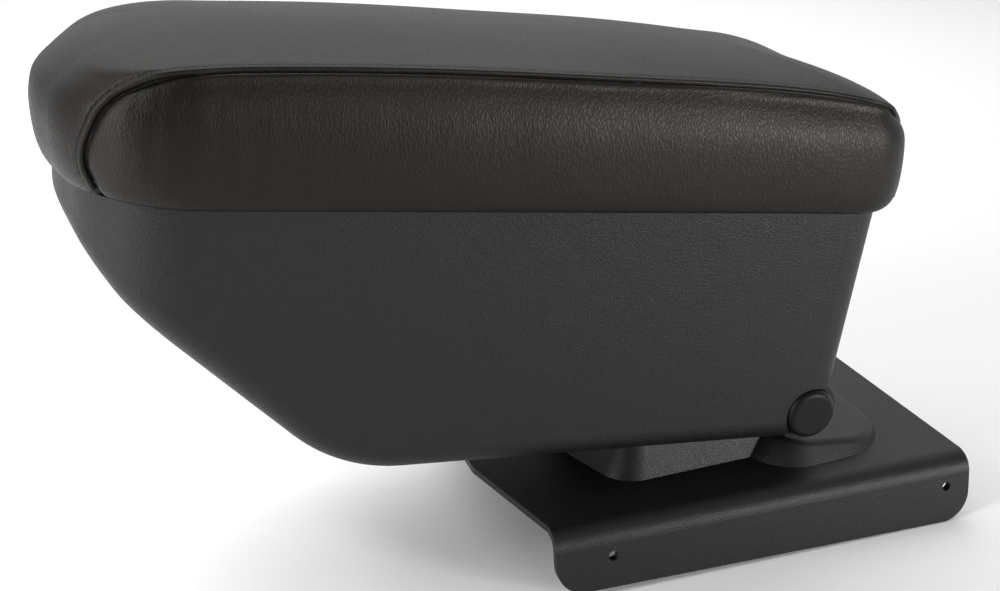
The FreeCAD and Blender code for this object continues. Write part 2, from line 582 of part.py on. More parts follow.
# Pivot bolt, its nut, washers and spacers, and the two domed caps
bolt_shank = rod("pivot_shank", "y", "pivot_bore / 2", "2 * cap_seat + 6.2", "0", "-cap_seat - 1.1")
bolt_head = rod("pivot_head", "y", "7", "4", "0", "-cap_seat - 5")
keep(tilted(joined("pivot_bolt", [bolt_shank, bolt_head])))
nut_bore = rod("pivot_nut_bore", "y", "pivot_bore / 2", "30", "0", "cap_seat - 5")
keep(tilted(less("pivot_nut", hexagon("pivot_nut_hexagon", "13", "4", "0", "cap_seat + 1", "0", "y"), [nut_bore])))
rings, tubes = [], []
for hand, side in (("left", -1), ("right", 1)):
    at = "-cap_seat - 1" if side < 0 else "cap_seat"
    rings.append(less("pivot_ring_" + hand, rod("pivot_ring_disc_" + hand, "y", "8", "1", "0", at),
                      [rod("pivot_ring_bore_" + hand, "y", "pivot_bore / 2", "4", "0", at + " - 1")]))
    at = "-cap_seat + box_wall" if side < 0 else "pocket_half + box_wall"
    run = "cap_seat - 2 * box_wall - pocket_half"
    tubes.append(less("spacer_" + hand, rod("spacer_bar_" + hand, "y", "6.5", run, "0", at),
                      [rod("spacer_bore_" + hand, "y", "pivot_bore / 2", run + " + 4", "0", at + " - 2")]))
    cap = doc.addObject("Part::Revolution", "cap_turned_" + hand)
    cap.Source = outline("cap_half_" + hand, "top", [
        ("0", "%d * cap_top" % side, None),
        ("0", "%d * (cap_top - 2)" % side, None),
        ("cap_round - 1.8", "%d * (cap_top - 2)" % side, None),
        ("cap_round - 1.8", "%d * cap_seat" % side, None),
        ("cap_round", "%d * cap_seat" % side, None),
        ("cap_round", "%d * cap_top" % side, "3"),
    ])
    cap.Axis = vec(0, 1, 0)
    cap.Angle = 360
    cap.Solid = True
    shell = cap
    keep(tilted(together("pivot_cap_" + hand, [shell])))
keep(tilted(together("pivot_washers", rings)))
keep(tilted(together("spacer_tubes", tubes)))


# Padded lid: a crowned loaf cut to its plan, with a cover of three panels round foam and a board
def loaf(name, inset):
    """The lid's outer form, or the same form one cover smaller."""
    high = "(lid_up + lid_high - %s)" % inset
    crest = doc.addObject("Part::Revolution", name + "_crest")
    crest.Source = outline(name + "_crest_outline", "side", [
        ("lid_rear + 8 - " + inset, "lid_up - 30", None),
        ("lid_rear + 8 - " + inset, high + " - 40", None),
        ("lid_rear - rear_brow - " + inset, high + " - rear_fall", "16 - " + inset),
        ("lid_rear - rear_slope - " + inset, high, "150"),
        ("-lid_tip + nose_slope + " + inset, high, "120"),
        ("-lid_tip + nose_brow + " + inset, high + " - nose_fall", "22 - " + inset),
        ("-lid_tip - 8 + " + inset, high + " - 40", None),
        ("-lid_tip - 8 + " + inset, "lid_up - 30", None),
    ])
    crest.Axis = vec(1, 0, 0)
    crest.setExpression("Base.z", bound("lid_up + lid_high - lid_crown"))
    crest.Angle = 40
    crest.Symmetric = True
    crest.Solid = True
    plan = prism(name + "_plan", "top", mirrored([
        ("lid_rear + lid_foot - " + inset, "lid_half + lid_foot - " + inset, "lid_corner - " + inset),
        ("-lid_tip - lid_foot + 14.2 + " + inset, "lid_half + lid_foot - " + inset, "nose_corner + 6 - " + inset),
        ("-lid_tip - lid_foot - 3.4 + " + inset, "0", "nose_front + 8 - " + inset),
    ]), "lid_up", "80", "-lid_lean")
    return shared(name + "_blank", [crest, plan])


def edged(name, blank, inset, under):
    """Rounds the loaf along its upper edge and along its lower edge."""
    floor = value("lid_up")
    upper = softened(name + "_upper", blank, "lid_edge - " + inset,
                     lambda e: e.BoundBox.ZMin > floor + 1 and not inner_top(e))
    return softened(name, upper, under, lambda e: e.BoundBox.ZMax < floor + 0.01)


def inner_top(e):
    """True for the seams between the crest's own faces, which run across the lid."""
    return abs(e.BoundBox.Center.y) < 0.5


cushion = edged("cushion", loaf("cushion", "0"), "0", "lid_under")
filling = edged("filling", loaf("filling", "cover"), "cover", "lid_under - cover + hem")
middle = prism("seam_prism", "top", mirrored([
    ("lid_rear + 30", "seam_half", None),
    ("-lid_tip + 46", "seam_half", "40"),
    ("-lid_tip + 7", "seam_half - 19", "12"),
    ("-lid_tip - 30", "seam_half - 19", None),
]), "lid_up - 10", "100")
keep(tilted(less("centre_panel", shared("centre_blank", [cushion, middle]), [filling])))
sides = less("side_blank", cushion, [middle])
for hand, side in (("left", -1), ("right", 1)):
    half = block("half_space_" + hand, "-400", "-200" if side < 0 else "0", "0", "600", "200", "300")
    keep(tilted(less("side_panel_" + hand, shared("side_blank_" + hand, [sides, half]), [filling])))
low_slab = block("pan_slab", "-400", "-200", "lid_up - 10", "600", "400", "10 + pan")
pan_cuts = []
for hand, side in (("left", -1), ("right", 1)):
    near = "-leaf_outer" if side < 0 else "leaf_inner"
    for label, y in (("inner", near + " + 6"), ("outer", near + " + leaf_outer - leaf_inner - 6")):
        pan_cuts.append(rod("pan_pilot_%s_%s" % (hand, label), "z", "1.6", "3", "axle_rear - 20", y, "lid_up - 0.1"))
keep(tilted(less("lid_pan", shared("pan_blank", [filling, low_slab]), pan_cuts)))
keep(tilted(less("foam_pad", filling, [low_slab])))
buttons = []
for label, x, y in (("left", "-120", "-box_half + 3"), ("right", "-120", "box_half - 3"),
                    ("nose_left", "-box_nose + 6", "-24"), ("nose_right", "-box_nose + 6", "24")):
    buttons.append(rod("button_" + label, "z", "2.5", "rim_gap - 0.3", x, y, "lid_up - rim_gap + 0.3"))
keep(tilted(together("lid_buffers", buttons)))

# Check everything, then write one file for each item
doc.recompute()
bad = []
for item in doc.Objects:
    if "Invalid" in item.State or "Error" in item.State:
        bad.append(item.Name + " is in error")
    shape = getattr(item, "Shape", None)
    if shape is not None and item.TypeId != "App::Line" and item.isDerivedFrom("Part::Feature"):
        if shape.isNull() or not shape.isValid():
            bad.append(item.Name + " has no sound shape")
if bad:
    raise SystemExit("\n".join(bad))
os.makedirs("parts", exist_ok=True)
for name, item in NODES.items():
    if not item.Shape.Solids:
        raise SystemExit(name + " holds no solid")
    item.Shape.exportStep("parts/%s.step" % name)
    print(name, len(item.Shape.Solids), round(item.Shape.Volume / 1000, 2), "cm3")
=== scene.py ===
import json
import math
import bpy
import bmesh
from mathutils import Matrix, Vector, noise
from mathutils.bvhtree import BVHTree


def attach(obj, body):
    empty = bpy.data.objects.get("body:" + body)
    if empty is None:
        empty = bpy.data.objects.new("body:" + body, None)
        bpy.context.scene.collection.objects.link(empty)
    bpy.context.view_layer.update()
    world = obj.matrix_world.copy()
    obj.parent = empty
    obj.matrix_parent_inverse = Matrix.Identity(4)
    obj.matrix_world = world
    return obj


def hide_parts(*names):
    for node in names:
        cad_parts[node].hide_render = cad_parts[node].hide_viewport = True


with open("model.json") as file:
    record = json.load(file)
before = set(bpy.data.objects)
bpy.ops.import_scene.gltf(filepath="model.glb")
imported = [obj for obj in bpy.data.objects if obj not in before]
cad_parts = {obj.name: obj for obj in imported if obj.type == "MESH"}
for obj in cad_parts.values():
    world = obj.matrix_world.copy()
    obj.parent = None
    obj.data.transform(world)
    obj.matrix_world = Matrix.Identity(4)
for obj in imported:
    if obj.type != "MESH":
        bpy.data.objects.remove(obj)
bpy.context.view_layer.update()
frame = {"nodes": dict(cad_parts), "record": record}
nodes = frame["nodes"]

# Adapter plate
# A sheet of black plastic with a fine pebbled face, formed hot over a tool into a channel with a hump.
# Self-tapping screws through its flanges hold it to the console; the armrest is bolted to its hump.


class Tone:
    """A socket in a finish's tree, so that its values can be added, scaled and mixed as arithmetic."""

    def __init__(self, tree, socket):
        self.tree = tree
        self.socket = socket

    def node(self, kind, settings=None, sockets=None, out=0):
        made = self.tree.nodes.new(kind)
        for key, setting in (settings or {}).items():
            if key == "stops":
                ramp = made.color_ramp
                while len(ramp.elements) < len(setting):
                    ramp.elements.new(0.5)
                for element, (place, shade) in zip(ramp.elements, setting):
                    element.position = place
                    element.color = (shade, shade, shade, 1)
            else:
                setattr(made, key, setting)
        for key, given in (sockets or {}).items():
            if isinstance(given, Tone):
                self.tree.links.new(given.socket, made.inputs[key])
            else:
                made.inputs[key].default_value = given
        return Tone(self.tree, made.outputs[out])

    def sum_up(self, operation, first, second):
        return self.node("ShaderNodeMath", {"operation": operation}, {0: first, 1: second})

    def __add__(self, other):
        return self.sum_up("ADD", self, other)

    def __rsub__(self, other):
        return self.sum_up("SUBTRACT", other, self)

    def __mul__(self, other):
        return self.sum_up("MULTIPLY", self, other)

    def stretched(self, x, y, z):
        return self.node("ShaderNodeMapping", None, {"Vector": self, "Scale": (x, y, z)})

    def bent_by(self, wander, reach):
        """This place, shifted about by a cloud, so that what is drawn on it has no straight lines."""
        return self.node("ShaderNodeVectorMath", {"operation": "MULTIPLY_ADD"}, {
            0: wander, 1: (reach,) * 3, 2: self})

    def cloudy(self, scale, detail=3.0, rough=0.55):
        return self.node("ShaderNodeTexNoise", None, {
            "Vector": self, "Scale": scale, "Detail": detail, "Roughness": rough})

    def cells(self, scale, feature="DISTANCE_TO_EDGE"):
        return self.node("ShaderNodeTexVoronoi", {"feature": feature}, {
            "Vector": self, "Scale": scale})

    def ramp(self, *stops):
        return self.node("ShaderNodeValToRGB", {"stops": stops}, {"Fac": self})

    def between(self, dark, light):
        return self.node("ShaderNodeMix", {"data_type": "RGBA"}, {
            0: self, 6: (*dark, 1), 7: (*light, 1)}, 2)

    def bumped(self, strength, distance):
        return self.node("ShaderNodeBump", None, {
            "Height": self, "Strength": strength, "Distance": distance})


def new_finish(name, **constants):
    """A finish with its fixed values set; gives it, its place on the piece, and a way to feed it."""
    finish = bpy.data.materials.new(name)
    finish.use_nodes = True
    tree = finish.node_tree
    shader = tree.nodes["Principled BSDF"]
    for key, amount in constants.items():
        label = key.replace("_", " ").title().replace("Ior", "IOR")
        shader.inputs[label].default_value = amount
    place = tree.nodes.new("ShaderNodeTexCoord")

    def feed(socket, tone):
        tree.links.new(tone.socket, shader.inputs[socket])

    return finish, Tone(tree, place.outputs["Object"]), feed


def wear(finish, *names):
    """Gives carried-over pieces their finish."""
    for name in names:
        nodes[name].data.materials.clear()
        nodes[name].data.materials.append(finish)


def pebbled(name, grain, depth, dark, light, gloss, shine=0.3):
    """Black plastic with round grains of that size in metres, and faint handling marks."""
    finish, place, feed = new_finish(name, specular_ior_level=shine)
    wander = place.cloudy(1 / (grain * 3.0), 2.0)
    grains = place.bent_by(wander, grain * 0.9).cells(1 / grain).ramp((0.0, 0.0), (0.35, 1.0))
    fine = place.cloudy(1 / (grain * 0.45), 2.0)
    broad = place.cloudy(9.0, 4.0)
    feed("Base Color", (broad * 0.7 + fine * 0.3).between(dark, light))
    feed("Roughness", broad * 0.12 + (gloss - 0.06) + (1 - grains) * 0.08)
    feed("Normal", (grains * 0.75 + fine * 0.4).bumped(0.26, depth))
    return finish


wear(pebbled("plate_grain", 0.00095, 0.00030, (0.005, 0.005, 0.005), (0.009, 0.009, 0.009), 0.38),
     "adapter_plate")

# Pivot bracket and its fixings
# A U folded from black-coated steel, bolted through the hump to a zinc-plated backing plate inside it.
# Four countersunk bolts with washers and nuts clamp the sheet; pale nylon bushes line the two ears.
coat, place, feed = new_finish("bracket_coat", metallic=0.0)
speckle = place.cloudy(900.0, 3.0)
feed("Base Color", speckle.between((0.010, 0.010, 0.010), (0.018, 0.018, 0.018)))
feed("Roughness", speckle * 0.2 + 0.4)
feed("Normal", speckle.bumped(0.3, 0.0001))
wear(coat, "pivot_bracket")

zinc, place, feed = new_finish("zinc_plate", metallic=1.0)
bloom = place.cloudy(240.0, 4.0)
streak = place.stretched(1.0, 6.0, 1.0).cloudy(420.0, 2.0)
feed("Base Color", (bloom * 0.6 + streak * 0.4).between((0.26, 0.26, 0.25), (0.42, 0.42, 0.40)))
feed("Roughness", bloom * 0.25 + 0.25)
wear(zinc, "backing_plate", "bracket_bolts", "bracket_washers", "bracket_nuts",
     "pivot_bolt", "pivot_nut", "pivot_washers", "spacer_tubes",
     "box_leaf_left", "box_leaf_right", "box_hinge_screws",
     "lid_leaf_left", "lid_leaf_right", "lid_hinge_screws", "hinge_pins")

nylon, place, feed = new_finish("natural_nylon")
cloud = place.cloudy(300.0, 3.0)
feed("Base Color", cloud.between((0.66, 0.64, 0.58), (0.76, 0.74, 0.68)))
feed("Roughness", cloud * 0.15 + 0.38)
wear(nylon, "ear_bush_left", "ear_bush_right")

rubber, place, feed = new_finish("black_rubber", specular_ior_level=0.15)
dust = place.cloudy(700.0, 4.0)
feed("Base Color", dust.between((0.006, 0.006, 0.006), (0.012, 0.012, 0.012)))
feed("Roughness", dust * 0.2 + 0.65)
wear(rubber, "rest_pads", "lid_buffers")

# Storage box
# A black plastic moulding with a fine leather grain from the tool, satin where it has been handled.
# It hangs on the pivot bolt and carries the lid's hinges on its rear wall.
box_grain, place, feed = new_finish("box_grain", specular_ior_level=0.3)
wander = place.cloudy(420.0, 2.0)
hide = place.bent_by(wander, 0.0012).cells(780.0).ramp((0.0, 0.0), (0.28, 1.0))
pores = place.cloudy(1900.0, 2.0)
broad = place.cloudy(6.0, 4.0)
feed("Base Color", broad.between((0.0055, 0.0054, 0.0056), (0.0085, 0.0083, 0.0086)))
feed("Roughness", broad * 0.1 + 0.36 + (1 - hide) * 0.08)
feed("Normal", (hide * 0.8 + pores * 0.3).bumped(0.4, 0.00025))
wear(box_grain, "storage_box")

# Pivot caps
# Domed push-on covers of the same black plastic, finer grained and duller than the box.
# They hide the ends of the pivot bolt.
wear(pebbled("cap_face", 0.0006, 0.00010, (0.003, 0.003, 0.003), (0.006, 0.006, 0.006), 0.34, 0.17),
     "pivot_cap_left", "pivot_cap_right")

# Lid board and padding
# A plain black board that the padding is glued to and the cover is stapled under; pale open-cell foam.
# The cover below stands in for the foam, so only the board is seen, with the lid open.
board, place, feed = new_finish("board_face")
mottle = place.cloudy(160.0, 4.0)
feed("Base Color", mottle.between((0.018, 0.018, 0.018), (0.03, 0.03, 0.03)))
feed("Roughness", mottle * 0.2 + 0.5)
wear(board, "lid_pan")

foam, place, feed = new_finish("open_foam")
crumb = place.cells(900.0, "F1")
feed("Base Color", crumb.between((0.35, 0.34, 0.30), (0.55, 0.53, 0.47)))
feed("Roughness", crumb * 0.2 + 0.75)
wear(foam, "foam_pad")

# Lid cover
# Black synthetic leather sewn from a centre strip and two side panels, drawn down over the foam.
# The side panels bulge between the seam and the board's edge; the hem is turned under the board.
REST_TILT = math.radians(6.8)
turns = {joint["name"]: joint for joint in frame["record"]["behaviour"]["joints"]}
TILT = Matrix.Translation(turns["armrest_tilt"]["pos_m"]) @ Matrix.Rotation(REST_TILT, 4, "Y")

# The lid's own sizes, in millimetres from the pivot, before the armrest is tilted
LID_UP, LID_HIGH = 93.0, 56
LID_TIP, LID_REAR, LID_HALF = -312.0, 26.8, 70.5
LID_MIDDLE = -140
NOSE_BACK, TIP_PAST = 14.2, 3.4
REAR_ROUND, NOSE_ROUND, TIP_ROUND = 27.0, 49.0, 96.0
EDGE_POINTS = 1040
SPINE_IN, FULL_REACH = 72, 71.5
CROWN_IN, CROWN_RUN = 20, 50
NOSE_FALL, NOSE_FALL_FROM, NOSE_FALL_RUN = 6.5, -150, 150
REAR_FALL, REAR_FALL_FROM, REAR_FALL_RUN = 6.0, -110, 118
SHOULDER_LOW, SHOULDER_RUN = 24, 24
BULGE_LOW, BULGE_RUN = 4, 40
CREASES_AT, CREASES_RUN = -272, 24
GROOVE_DEEP, STITCH_IN = 1.7, 3.3
STRIP_EDGE = 8
HEM_CLEAR = 0.8


def rounded(corners, step):
    """Points along a closed outline of (x, y, radius) corners, about a step apart."""
    points = []
    count = len(corners)
    for i in range(count):
        here = Vector(corners[i][:2])
        back = (Vector(corners[i - 1][:2]) - here).normalized()
        ahead = (Vector(corners[(i + 1) % count][:2]) - here).normalized()
        half = back.angle(ahead) / 2
        radius = corners[i][2]
        middle = here + (back + ahead).normalized() * (radius / math.sin(half))
        start = here + back * (radius / math.tan(half)) - middle
        sweep = math.pi - 2 * half
        turn = 1 if back.x * ahead.y - back.y * ahead.x < 0 else -1
        parts = max(2, int(radius * sweep / step))
        for k in range(parts + 1):
            angle = turn * sweep * k / parts
            points.append(middle + Vector((start.x * math.cos(angle) - start.y * math.sin(angle),
                                           start.x * math.sin(angle) + start.y * math.cos(angle))))
    return points


def respaced(points, count, closed=True):
    """The same line through evenly spaced points."""
    line = list(points) + ([points[0]] if closed else [])
    runs = [0.0]
    for a, b in zip(line, line[1:]):
        runs.append(runs[-1] + (b - a).length)
    spaced = []
    k = 0
    for i in range(count):
        want = runs[-1] * i / (count if closed else count - 1)
        while k < len(line) - 2 and runs[k + 1] < want:
            k += 1
        share = (want - runs[k]) / max(runs[k + 1] - runs[k], 1e-9)
        spaced.append(line[k].lerp(line[k + 1], min(1.0, share)))
    return spaced


lid_plan = [(LID_REAR, LID_HALF, REAR_ROUND),
            (LID_TIP + NOSE_BACK, LID_HALF, NOSE_ROUND),
            (LID_TIP - TIP_PAST, 0.0, TIP_ROUND),
            (LID_TIP + NOSE_BACK, -LID_HALF, NOSE_ROUND),
            (LID_REAR, -LID_HALF, REAR_ROUND)]
edge = respaced(rounded(lid_plan, 1.0), EDGE_POINTS)

# Sections of the lid, as (in from the edge, up from the underside), from the hem up to the middle
SIDE = [(13, -0.6), (9, -0.8), (5.6, -1.4), (3.2, -1.8), (1.2, 0.4), (0.3, 6.0), (0, 15.5),
        (0.2, 24.5), (1.0, 31.5), (2.5, 38), (4.2, 43.4), (5.4, 47.4), (9, 48.7), (15, 50.0),
        (25, 52.0), (38, 54.0), (52, 55.4), (63, 55.95), (70.5, 56)]
NOSE = [(15, -0.6), (10.6, -1.0), (7.0, -1.6), (4.3, 0.2), (2.1, 5.2), (0.7, 12.0), (0, 19.5),
        (0.3, 24.5), (1.2, 29.5), (3.2, 34.5), (6.3, 39.5), (10.5, 44.0), (15.2, 47.2), (21, 49.8),
        (29, 52.3), (39, 54.3), (51, 55.5), (63, 55.95), (72, 56)]
REAR = [(7, 0.1), (5.6, 0.1), (3.2, 0.9), (1.3, 3.0), (0.3, 6.5), (0, 11), (0.5, 18),
        (1.7, 25), (3.1, 31), (5.2, 37.2), (8.2, 41.8), (12.2, 45.2), (17, 47.9), (22.5, 50.1),
        (30, 52.2), (41, 54.1), (53, 55.3), (64, 55.9), (72, 56)]
WIDEST_KNOT = 6
FINE_PARTS = {9: 6, 10: 9, 11: 9, 12: 6}


def along(section, share):
    """A point of a section's smooth curve, by its share of the knots."""
    t = share * (len(section) - 1)
    i = min(int(t), len(section) - 2)
    t -= i
    a, b, c, d = (Vector(section[max(0, min(len(section) - 1, i + k))]) for k in (-1, 0, 1, 2))
    return 0.5 * (2 * b + (c - a) * t + (2 * a - 5 * b + 4 * c - d) * t * t
                  + (3 * b - a - 3 * c + d) * t ** 3)


# The mesh is finer at the shoulder, where the seam runs
shares = []
for i in range(len(SIDE) - 1):
    parts = FINE_PARTS.get(i, 3)
    shares += [(i + k / parts) / (len(SIDE) - 1) for k in range(parts)]
tables = [[along(s, share) for share in shares] for s in (SIDE, NOSE, REAR)]
widest = next(k for k in range(len(shares)) if shares[k] * (len(SIDE) - 1) >= WIDEST_KNOT)

# The seam on the unrolled wall, as (along the edge from the tip, up the wall from its widest line)
SEAM = [(61, -60), (61, -24), (60, -17.5), (58.8, -14), (56.9, -11), (56.1, -7.5), (56.9, -2),
        (59.2, 3.3), (61.9, 9.7), (65.2, 16.8), (69, 22.4), (75, 26.8), (82.2, 30.1), (90.3, 32.5),
        (101, 34), (114.7, 34.4), (142, 34.2), (253, 33.2), (275, 33.8), (298, 35.1), (319, 36.1),
        (341, 36.5), (354, 35.6), (363, 33.8), (369.5, 31.3), (377, 27), (384.5, 21.8),
        (390.5, 15.5), (395, 8.5), (398, 0), (399, -9), (399, -22), (399, -60)]
SEAM_PARTS = 64
seam_curve = [along(SEAM, k / SEAM_PARTS) for k in range(SEAM_PARTS + 1)]


def seam_side(run, climb):
    """How far a place on the unrolled wall is from the seam, above zero towards the centre strip."""
    best, sign = 1e9, 1
    for (x0, y0), (x1, y1) in zip(seam_curve, seam_curve[1:]):
        dx, dy = x1 - x0, y1 - y0
        share = ((run - x0) * dx + (climb - y0) * dy) / (dx * dx + dy * dy)
        share = max(0.0, min(1.0, share))
        ax, ay = run - x0 - dx * share, climb - y0 - dy * share
        away = math.hypot(ax, ay)
        if away < best:
            best = away
            sign = 1 if dx * ay - dy * ax > 0 else -1
    return best * sign


def fallen(x, up):
    """How much lower the padding lies towards the nose and the rear, where the cover pulls it down."""
    ahead = max(0.0, NOSE_FALL_FROM - x) / NOSE_FALL_RUN
    behind = max(0.0, x - REAR_FALL_FROM) / REAR_FALL_RUN
    share = max(0.0, min(1.0, (up - SHOULDER_LOW) / SHOULDER_RUN))
    return (NOSE_FALL * ahead ** 2 + REAR_FALL * behind ** 2) * share * share * (3 - 2 * share)


def spine_at(x):
    """Where on the crown's middle line the section from a place on the edge ends."""
    return max(LID_TIP + SPINE_IN, min(LID_REAR - SPINE_IN, x))


def to_spine(inset, reach):
    """A section's inset, stretched beyond the shoulder so that its last knot meets the spine."""
    past = min(1.0, max(0.0, (inset - CROWN_IN) / CROWN_RUN))
    return inset * (1 + (reach / FULL_REACH - 1) * past)


shell = bmesh.new()
depth_in = {}
rings = []
tip = min(range(len(edge)), key=lambda i: edge[i].x + abs(edge[i].y) * 0.01)
pace = sum((b - a).length for a, b in zip(edge, edge[1:] + edge[:1])) / len(edge)
for i, spot in enumerate(edge):
    run = edge[(i + 1) % len(edge)] - edge[i - 1]
    outward = Vector((run.y, -run.x)).normalized()
    if outward.dot(spot - Vector((LID_MIDDLE, 0))) < 0:
        outward = -outward
    weights = [abs(outward.y) ** 2, max(0.0, -outward.x) ** 2, max(0.0, outward.x) ** 2]
    inward = Vector((spine_at(spot.x), 0.0)) - spot
    reach = inward.length
    mixed = [sum((t[k] * w for t, w in zip(tables, weights)), Vector((0, 0)))
             for k in range(len(shares))]
    climbs = [0.0]
    for low, high in zip(mixed, mixed[1:]):
        climbs.append(climbs[-1] + (high - low).length)
    along_edge = pace * min(abs(i - tip), len(edge) - abs(i - tip))
    ring = []
    for k, (inset, up) in enumerate(mixed):
        flat = spot + inward.normalized() * min(to_spine(inset, reach), reach)
        vert = shell.verts.new((flat.x, flat.y, LID_UP + up - fallen(flat.x, up)))
        depth_in[vert] = seam_side(along_edge, climbs[k] - climbs[widest])
        ring.append(vert)
    rings.append(ring)
for i, spot in enumerate(edge):
    a, b = rings[i], rings[(i + 1) % len(rings)]
    for k in range(len(shares) - 1):
        shell.faces.new((a[k], b[k], b[k + 1], a[k + 1]))
    crown = round(spine_at(spot.x), 3)
    rings[i].append(shell.verts.new((crown, 0, LID_UP + LID_HIGH - fallen(crown, LID_HIGH))))
    depth_in[rings[i][-1]] = LID_HALF
for i in range(len(rings)):
    a, b = rings[i], rings[(i + 1) % len(rings)]
    shell.faces.new((a[-2], b[-2], b[-1], a[-1]))
bmesh.ops.remove_doubles(shell, verts=shell.verts, dist=0.02)
bmesh.ops.dissolve_degenerate(shell, edges=shell.edges, dist=0.005)
bmesh.ops.recalc_face_normals(shell, faces=shell.faces)
top_face = max(shell.faces, key=lambda f: f.calc_center_median().z)
if top_face.normal.z < 0:
    bmesh.ops.reverse_faces(shell, faces=shell.faces)

# The cut along the seam: the mesh gets an edge there, then each panel's edge is drawn in to a groove
ON_SEAM = 0.02
fresh = []
for e in list(shell.edges):
    a, b = e.verts
    fa, fb = depth_in[a], depth_in[b]
    if fa * fb < 0 and min(abs(fa), abs(fb)) > ON_SEAM:
        _, made_vert = bmesh.utils.edge_split(e, a, fa / (fa - fb))
        depth_in[made_vert] = 0.0
        fresh.append(made_vert)
for v in shell.verts:
    if abs(depth_in[v]) <= ON_SEAM and v not in fresh:
        depth_in[v] = 0.0
        fresh.append(v)
bmesh.ops.connect_verts(shell, verts=fresh)
shell.normal_update()
skin = BVHTree.FromBMesh(shell)
undrawn = {v: (v.co.copy(), v.normal.copy()) for v in shell.verts if depth_in[v] == 0.0}


def groove(away):
    """How far the cover is drawn in near the seam: wide on the side panel, narrow on the strip."""
    if away < 0:
        pull = 0.35 * math.exp(-(away / 5.0) ** 2)
        return GROOVE_DEEP * math.exp(-(away / 1.5) ** 2) + pull
    stitch_dent = 0.3 * math.exp(-((away - STITCH_IN) / 0.7) ** 2)
    return GROOVE_DEEP * math.exp(-(away / 1.1) ** 2) + stitch_dent


def swell(x, y, low):
    """The side panel's slow swells, and its small creases, which are strongest at the nose."""
    slow = noise.noise(Vector((x * 0.035, y * 0.02, low * 0.02)))
    crease = noise.noise(Vector((x * 0.16, y * 0.16, low * 0.03 + 7.0)))
    near_nose = math.exp(-((x - CREASES_AT) / CREASES_RUN) ** 2)
    bulge = math.sin(math.pi * (low - BULGE_LOW) / BULGE_RUN)
    return 0.30 * slow + (0.05 + 0.40 * near_nose) * crease * bulge


moves = {}
for v in shell.verts:
    away = depth_in[v]
    shift = -groove(away)
    low = v.co.z - LID_UP
    if away < 0 and BULGE_LOW < low < BULGE_LOW + BULGE_RUN:
        shift += swell(v.co.x, v.co.y, low)
    elif away > STRIP_EDGE:
        shift += 0.25 * noise.noise(Vector((v.co.x * 0.018, v.co.y * 0.03, 3.0)))
    moves[v] = v.normal * shift
for v, move in moves.items():
    v.co += move


def panel_of(face):
    if sum(depth_in[v] for v in face.verts) > 0:
        return "centre_panel"
    return "side_panel_left" if face.calc_center_median().y < 0 else "side_panel_right"


belongs = {f: panel_of(f) for f in shell.faces}


def seam_line(left):
    """The seam's points in order from the hem at the nose to the hem at the rear, as if undrawn."""
    links = {}
    for e in shell.edges:
        sides = {belongs[f] for f in e.link_faces}
        if len(sides) == 2 and (e.verts[0].co.y < 0) == left:
            for v in e.verts:
                links.setdefault(v, []).append(e.other_vert(v))
    ends = [v for v, near in links.items() if len(near) == 1]
    here = min(ends, key=lambda v: v.co.x)
    line, seen = [here], {here}
    while True:
        onward = [v for v in links[here] if v not in seen]
        if not onward:
            break
        here = onward[0]
        seen.add(here)
        line.append(here)
    return [undrawn[v] for v in line if undrawn[v][0].z > LID_UP + HEM_CLEAR]


def put_in(name, data):
    """A new object in the scene."""
    made = bpy.data.objects.new(name, data)
    bpy.context.scene.collection.objects.link(made)
    return made


seams = {"left": seam_line(True), "right": seam_line(False)}

leather, place, feed = new_finish("black_leather", specular_ior_level=0.23,
                                  specular_tint=(1.0, 0.94, 0.88, 1.0))
wander = place.cloudy(300.0, 3.0)
bent = place.bent_by(wander, 0.0016)
hide = bent.stretched(1.0, 1.0, 0.4).cells(880.0).ramp((0.0, 0.0), (0.22, 0.8), (0.5, 1.0))
creases = bent.stretched(1.0, 1.0, 0.18).cloudy(640.0, 3.0, 0.6)
pores = place.cloudy(2400.0, 2.0)
broad = place.cloudy(14.0, 4.0)
feed("Base Color", (broad * 0.6 + hide * 0.4).between((0.0030, 0.0026, 0.0022),
                                                      (0.0065, 0.0057, 0.0049)))
feed("Roughness", broad * 0.1 + 0.32 + (1 - hide) * 0.1)
feed("Normal", (hide * 0.55 + creases * 0.75 + pores * 0.15).bumped(0.22, 0.0005))

for name in ("centre_panel", "side_panel_left", "side_panel_right"):
    spots, faces = {}, []
    for f in shell.faces:
        if belongs[f] == name:
            faces.append([spots.setdefault(v, len(spots)) for v in f.verts])
    mesh = bpy.data.meshes.new("cover_" + name)
    mesh.from_pydata([TILT @ (v.co / 1000) for v in spots], [], faces)
    mesh.shade_smooth()
    mesh.materials.append(leather)
    panel = put_in("cover_" + name, mesh)
    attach(panel, "lid")
    if name == "centre_panel":
        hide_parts(name, "foam_pad")
    else:
        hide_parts(name)
shell.free()

# Seam bands and their stitching
# The centre strip's edge is turned under and sewn down, which raises a narrow rolled band beside each seam.
# A single row of black thread, three millimetres a stitch, holds the band's inner edge.
PITCH, THREAD, STITCH_SHARE = 0.0030, 0.00017, 0.42
BAND_STEP = 1.1
BAND = [(0.15, -1.6), (0.2, -0.7), (0.4, -0.1), (0.8, 0.2), (1.4, 0.32), (2.0, 0.3), (2.5, 0.17),
        (2.9, -0.08), (3.1, -0.4)]
STITCH_SUNK = 0.12
thread, place, feed = new_finish("black_thread")
twist = place.cloudy(2600.0, 2.0)
feed("Base Color", twist.between((0.006, 0.006, 0.006), (0.016, 0.015, 0.015)))
feed("Roughness", twist * 0.2 + 0.5)


